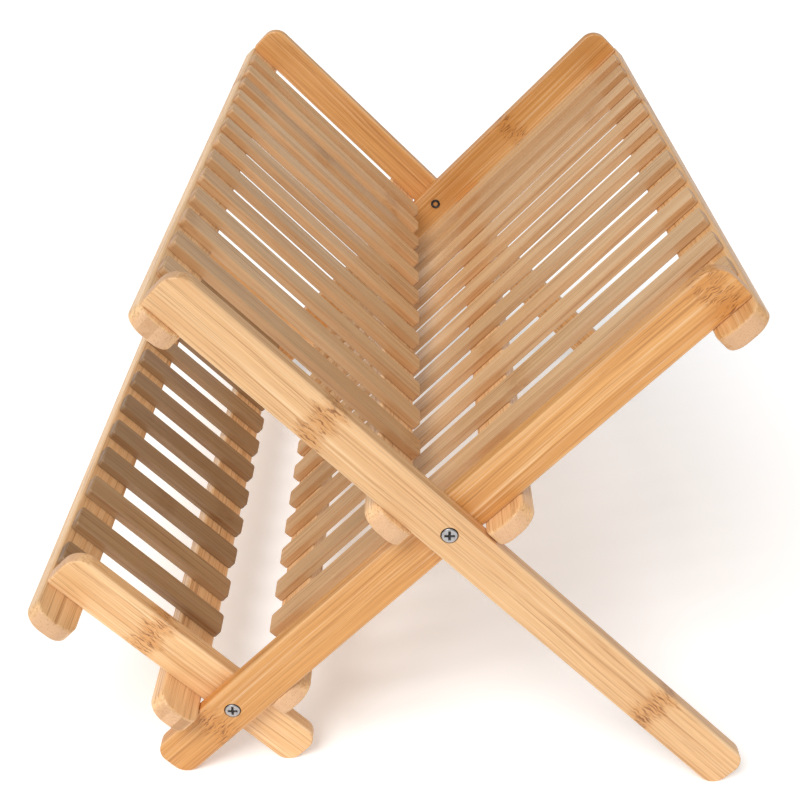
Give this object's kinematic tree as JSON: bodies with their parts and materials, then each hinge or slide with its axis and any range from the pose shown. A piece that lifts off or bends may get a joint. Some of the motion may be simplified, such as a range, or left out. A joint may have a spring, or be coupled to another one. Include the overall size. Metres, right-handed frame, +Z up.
{
  "type": "folding dish drying rack",
  "caption": "Folding two-tier dish drying rack of slatted bamboo panels that cross each other and turn on steel pivot screws.",
  "frame": {"origin": "on the floor, at the middle of the rack's box", "axes": "+X towards the side with the tall panel's top and the long legs' feet, +Y towards the back, +Z up; the pivot axes run along Y"},
  "size_m": [0.2966, 0.427, 0.2341],
  "materials": {
    "bamboo": "satin",
    "steel": "satin"
  },
  "bodies": {
    "main_panel": {"main_rail_front": "bamboo", "main_rail_back": "bamboo", "main_bar_top": "bamboo", "main_bar_mid": "bamboo", "main_bar_low": "bamboo", "main_slat_01": "bamboo", "main_slat_02": "bamboo", "main_slat_03": "bamboo", "main_slat_04": "bamboo", "main_slat_05": "bamboo", "main_slat_06": "bamboo", "main_slat_07": "bamboo", "main_slat_08": "bamboo", "main_slat_09": "bamboo", "main_slat_10": "bamboo", "main_slat_11": "bamboo", "main_slat_12": "bamboo", "main_slat_13": "bamboo", "upper_screws": "steel", "upper_nuts": "steel", "lower_screws": "steel", "lower_nuts": "steel"},
    "long_panel": {"long_rail_front": "bamboo", "long_rail_back": "bamboo", "long_bar_top": "bamboo", "long_bar_low": "bamboo", "long_slat_01": "bamboo", "long_slat_02": "bamboo", "long_slat_03": "bamboo", "long_slat_04": "bamboo", "long_slat_05": "bamboo", "long_slat_06": "bamboo", "long_slat_07": "bamboo", "long_slat_08": "bamboo", "long_slat_09": "bamboo", "long_slat_10": "bamboo", "long_slat_11": "bamboo", "long_slat_12": "bamboo", "long_slat_13": "bamboo"},
    "short_panel": {"short_rail_front": "bamboo", "short_rail_back": "bamboo", "short_bar_top": "bamboo", "short_bar_low": "bamboo", "short_slat_01": "bamboo", "short_slat_02": "bamboo", "short_slat_03": "bamboo", "short_slat_04": "bamboo", "short_slat_05": "bamboo", "short_slat_06": "bamboo", "short_slat_07": "bamboo", "short_slat_08": "bamboo", "short_slat_09": "bamboo", "short_slat_10": "bamboo", "short_slat_11": "bamboo", "short_slat_12": "bamboo", "short_slat_13": "bamboo"}
  },
  "joints": [
    {"name": "main_fold", "type": "hinge", "parent": "main_panel", "child": "long_panel", "pos_m": [0.0233, 0, 0.12478], "axis": [0, 1, 0], "range_deg": [0, 89]},
    {"name": "lower_fold", "type": "hinge", "parent": "main_panel", "child": "short_panel", "pos_m": [-0.06863, 0, 0.03286], "axis": [0, 1, 0], "range_deg": [0, 89]}
  ]
}
